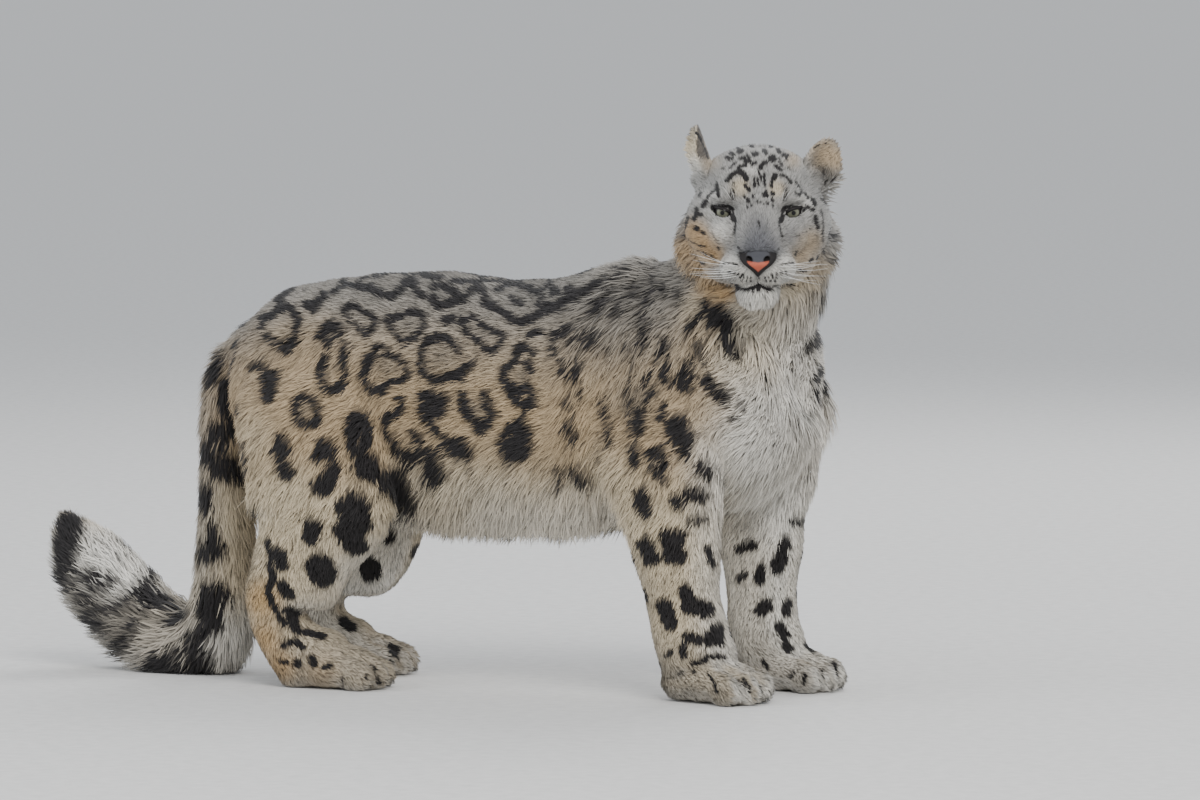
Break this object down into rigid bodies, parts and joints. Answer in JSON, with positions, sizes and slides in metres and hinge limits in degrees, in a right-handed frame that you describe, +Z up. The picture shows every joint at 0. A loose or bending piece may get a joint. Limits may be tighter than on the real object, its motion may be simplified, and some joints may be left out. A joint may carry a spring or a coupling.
{
  "type": "snow leopard",
  "caption": "Standing snow leopard with thick spotted fur, a long bushy tail laid on the floor and its head turned to its right side.",
  "frame": {"origin": "on the floor, at the middle of the bottom of the box round the whole animal", "axes": "+X towards the animal's front along its back, +Y to its left, +Z up"},
  "size_m": [1.1461, 0.3771, 0.7403],
  "materials": {
    "fur": "thick soft coat, grey cream with dark rosettes",
    "eye": "wet, pale grey green with a round pupil",
    "nose": "bare nose pad, dull pink with dark edges"
  },
  "bodies": {
    "root": {"belly": "fur", "chest": "fur", "ear_left": "fur", "ear_right": "fur", "eye_left": "eye", "eye_right": "eye", "foreleg_left_lower": "fur", "foreleg_left_upper": "fur", "foreleg_right_lower": "fur", "foreleg_right_upper": "fur", "forepaw_left": "fur", "forepaw_right": "fur", "head": "fur", "hindleg_left_lower": "fur", "hindleg_left_upper": "fur", "hindleg_right_lower": "fur", "hindleg_right_upper": "fur", "hindpaw_left": "fur", "hindpaw_right": "fur", "neck": "fur", "nose": "nose", "rump": "fur", "tail_1": "fur", "tail_2": "fur", "tail_3": "fur", "tail_4": "fur", "tail_5": "fur"}
  },
  "joints": []
}
